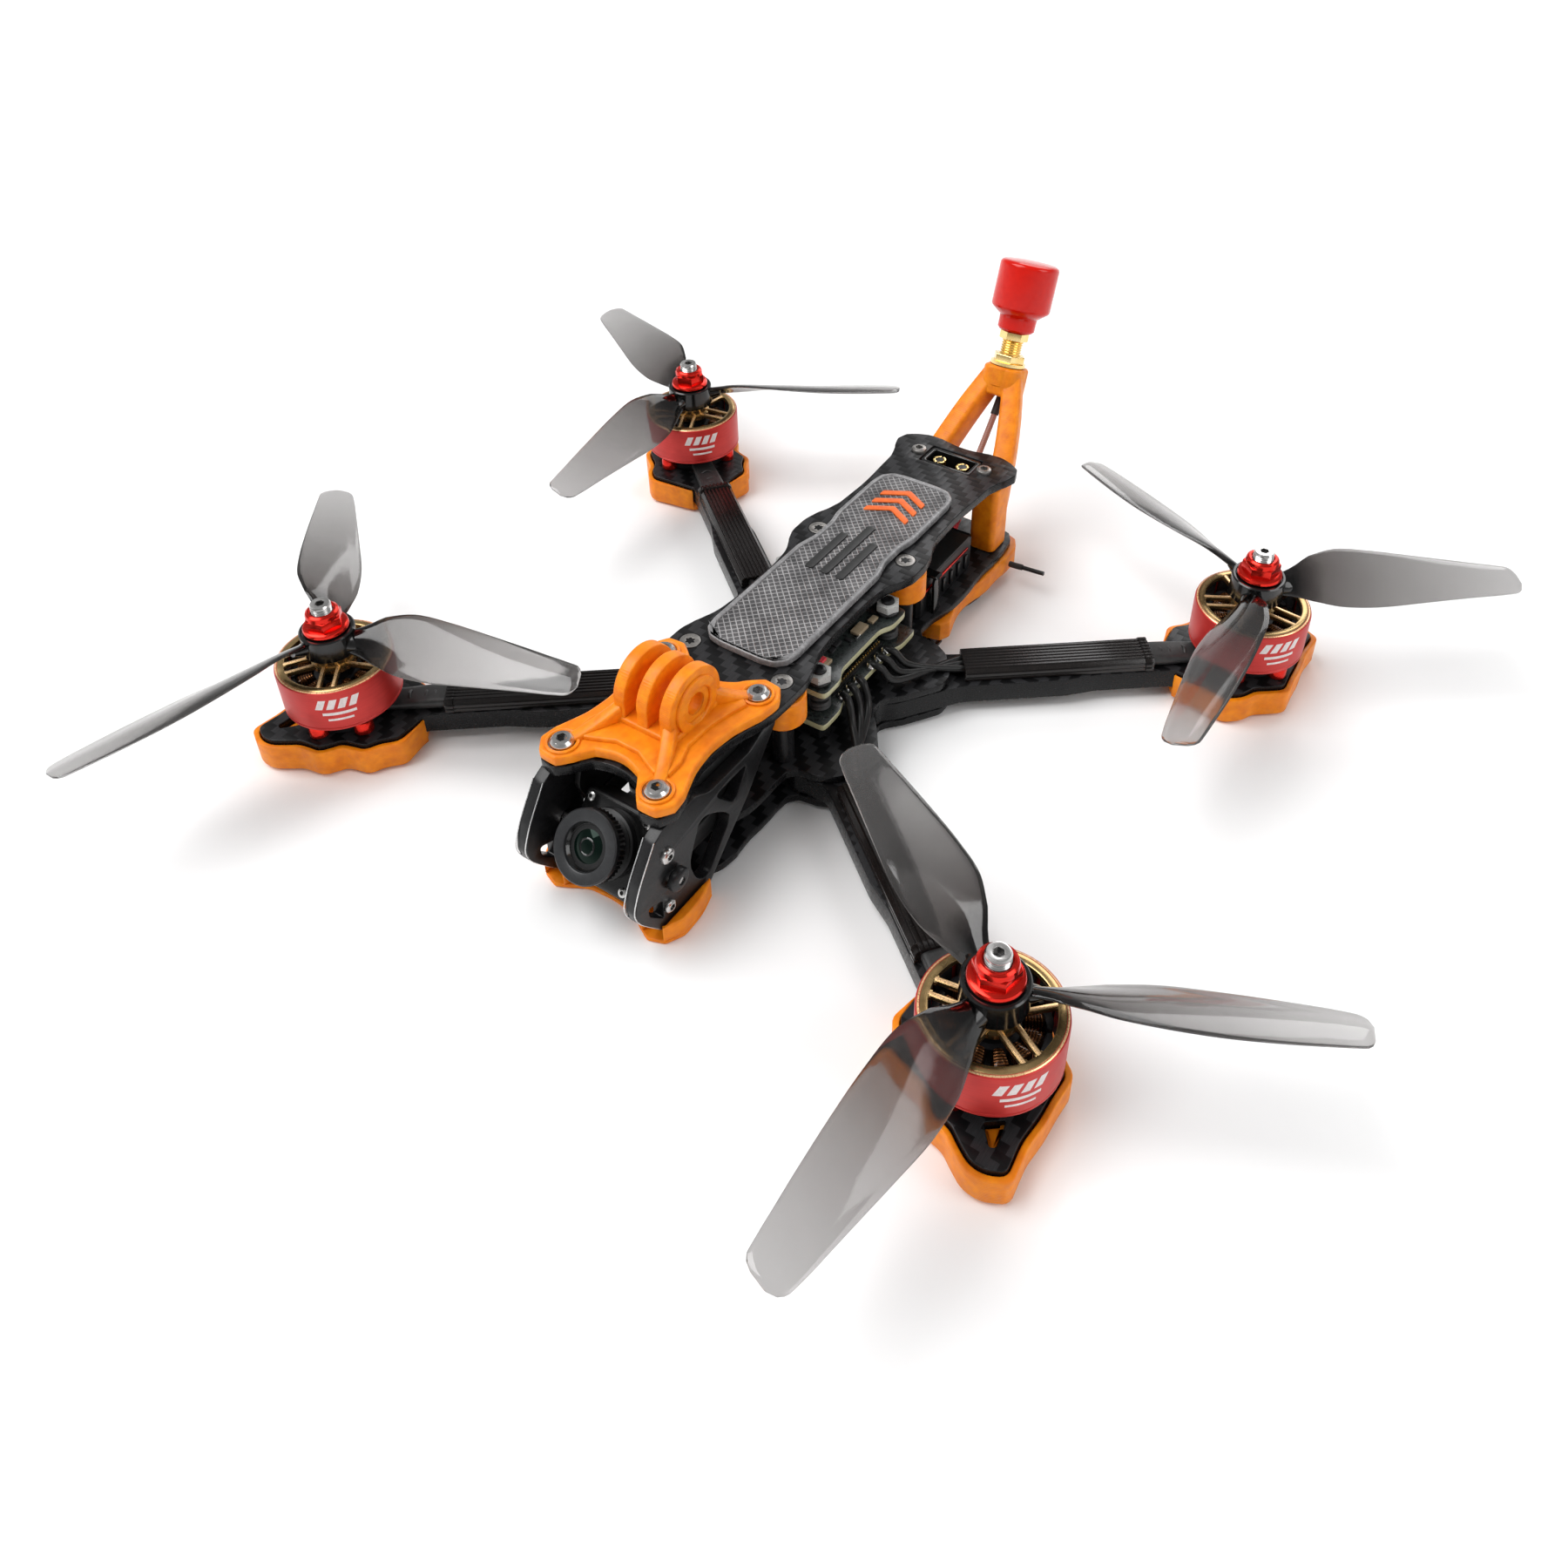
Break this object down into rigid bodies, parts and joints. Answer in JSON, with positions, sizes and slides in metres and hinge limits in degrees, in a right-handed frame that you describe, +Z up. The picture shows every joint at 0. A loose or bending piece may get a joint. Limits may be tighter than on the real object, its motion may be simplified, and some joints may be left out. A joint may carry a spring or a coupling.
{
  "type": "fpv racing drone",
  "caption": "Quadcopter with a carbon plate frame, three-bladed propellers on outrunner motors, a tilting nose camera and a raised antenna mast.",
  "frame": {"origin": "centre of the four motors, on the underside of the bottom plate", "axes": "+Z up, the nose towards -Y, +X towards the drone's left side"},
  "size_m": [0.2945, 0.258, 0.0803],
  "materials": {
    "carbon": "2x2 twill carbon fibre sheet, satin, with milled matt edges",
    "orange_tpu": "printed soft plastic with fine layer lines",
    "black_metal": "black anodised aluminium, bare silver on one chamfer",
    "black_plastic": "moulded black plastic",
    "circuit_board": "black solder mask with pale yellow-green board edges",
    "red_metal": "red anodised aluminium, with turned gold-coloured faces on the bells",
    "copper": "enamelled copper windings on a black stack, over a red foot",
    "smoke_plastic": "clear grey moulded plastic, darker at the root",
    "red_plastic": "glossy red moulded plastic",
    "gold": "gold-plated brass",
    "steel": "bright steel and titanium-grey screw heads",
    "pink_wire": "pinkish brown coaxial cable sleeve",
    "clear_tpu": "clear printed soft plastic with a waffle surface",
    "orange_print": "bright orange printed shapes on the pad"
  },
  "bodies": {
    "frame": {"bottom_plate": "carbon", "mid_plate": "carbon", "top_plate": "carbon", "arm_front_left": "carbon", "arm_front_right": "carbon", "arm_rear_right": "carbon", "arm_rear_left": "carbon", "action_camera_mount": "orange_tpu", "front_bumper": "orange_tpu", "rear_bumper": "orange_tpu", "antenna_mount": "orange_tpu", "arm_guard_front_left": "orange_tpu", "arm_guard_front_right": "orange_tpu", "arm_guard_rear_right": "orange_tpu", "arm_guard_rear_left": "orange_tpu", "camera_plate_left": "black_metal", "camera_plate_right": "black_metal", "video_transmitter": "black_metal", "standoff_front_left": "black_metal", "standoff_front_right": "black_metal", "standoff_rear_right": "black_metal", "standoff_rear_left": "black_metal", "standoff_tail_left": "black_metal", "standoff_tail_right": "black_metal", "xt60_connector": "black_plastic", "receiver_antenna": "black_plastic", "stack_post_front_left": "black_plastic", "stack_post_front_right": "black_plastic", "stack_post_rear_right": "black_plastic", "stack_post_rear_left": "black_plastic", "wire_cover_front_left": "black_plastic", "wire_cover_front_right": "black_plastic", "wire_cover_rear_right": "black_plastic", "wire_cover_rear_left": "black_plastic", "esc_board": "circuit_board", "flight_controller": "circuit_board", "motor_base_front_left": "copper", "motor_base_front_right": "copper", "motor_base_rear_right": "copper", "motor_base_rear_left": "copper", "antenna_radome": "red_plastic", "sma_connector": "gold", "coax_cable": "pink_wire", "battery_pad": "clear_tpu"},
    "camera": {"camera_body": "black_plastic", "camera_lens": "black_plastic", "camera_screw_left": "black_metal", "camera_screw_right": "black_metal"},
    "rotor_front_left": {"motor_bell_front_left": "red_metal", "propeller_front_left": "smoke_plastic", "prop_nut_front_left": "red_metal"},
    "rotor_front_right": {"motor_bell_front_right": "red_metal", "propeller_front_right": "smoke_plastic", "prop_nut_front_right": "red_metal"},
    "rotor_rear_right": {"motor_bell_rear_right": "red_metal", "propeller_rear_right": "smoke_plastic", "prop_nut_rear_right": "red_metal"},
    "rotor_rear_left": {"motor_bell_rear_left": "red_metal", "propeller_rear_left": "smoke_plastic", "prop_nut_rear_left": "red_metal"}
  },
  "joints": [
    {"name": "camera_tilt", "type": "hinge", "parent": "frame", "child": "camera", "pos_m": [0, -0.072, 0.0152], "axis": [-1, 0, 0], "range_deg": [-38, 22]},
    {"name": "rotor_spin_front_left", "type": "hinge", "parent": "frame", "child": "rotor_front_left", "pos_m": [0.0889, -0.06975, 0.02], "axis": [0, 0, 1], "continuous": true},
    {"name": "rotor_spin_front_right", "type": "hinge", "parent": "frame", "child": "rotor_front_right", "pos_m": [-0.0889, -0.06975, 0.02], "axis": [0, 0, 1], "continuous": true},
    {"name": "rotor_spin_rear_right", "type": "hinge", "parent": "frame", "child": "rotor_rear_right", "pos_m": [-0.0889, 0.06975, 0.02], "axis": [0, 0, 1], "continuous": true},
    {"name": "rotor_spin_rear_left", "type": "hinge", "parent": "frame", "child": "rotor_rear_left", "pos_m": [0.0889, 0.06975, 0.02], "axis": [0, 0, 1], "continuous": true}
  ]
}
